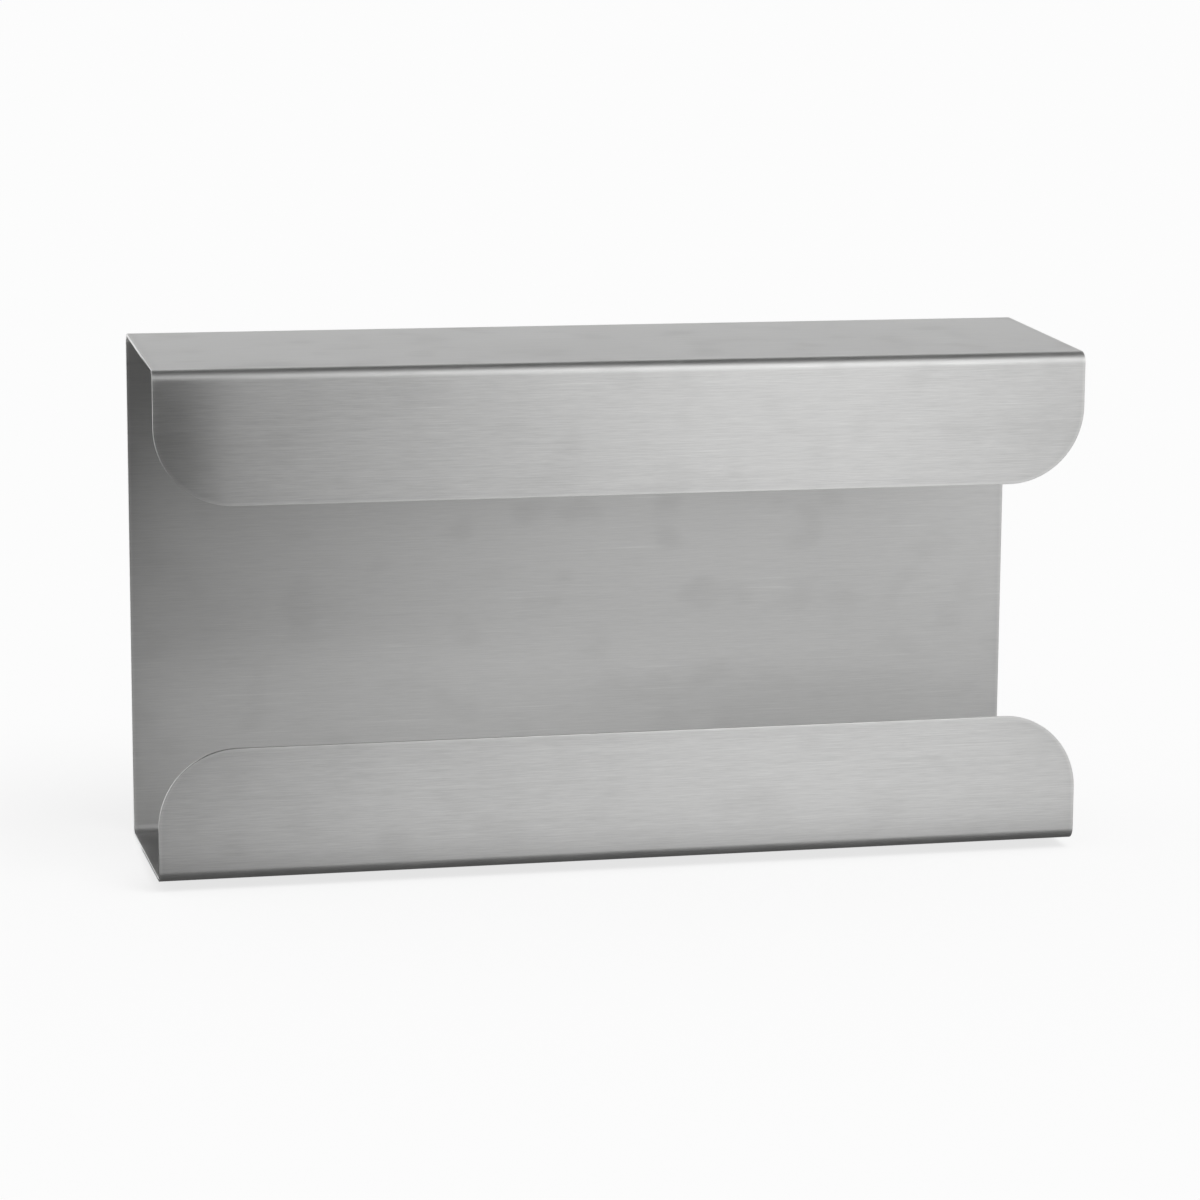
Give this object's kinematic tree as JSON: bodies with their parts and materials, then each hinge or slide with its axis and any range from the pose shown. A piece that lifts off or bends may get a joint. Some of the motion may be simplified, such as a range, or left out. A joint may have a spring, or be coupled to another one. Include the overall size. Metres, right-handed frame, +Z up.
{
  "type": "disposable glove dispenser",
  "caption": "Wall dispenser for a box of disposable gloves: brushed stainless sheet folded into an open-ended channel with round-cornered front lips.",
  "frame": {"origin": "centre of the flat wall face, which lies in the XZ plane", "axes": "+X along the bends, to the right as seen from the front; +Y out of the wall face, towards the wall, so the lips face -Y; +Z up"},
  "size_m": [0.26, 0.07, 0.145],
  "materials": {
    "brushed_stainless": "fine satin grain brushed along the bends, faint handling smudges"
  },
  "bodies": {
    "root": {"folded_sheet": "brushed_stainless"}
  },
  "joints": []
}
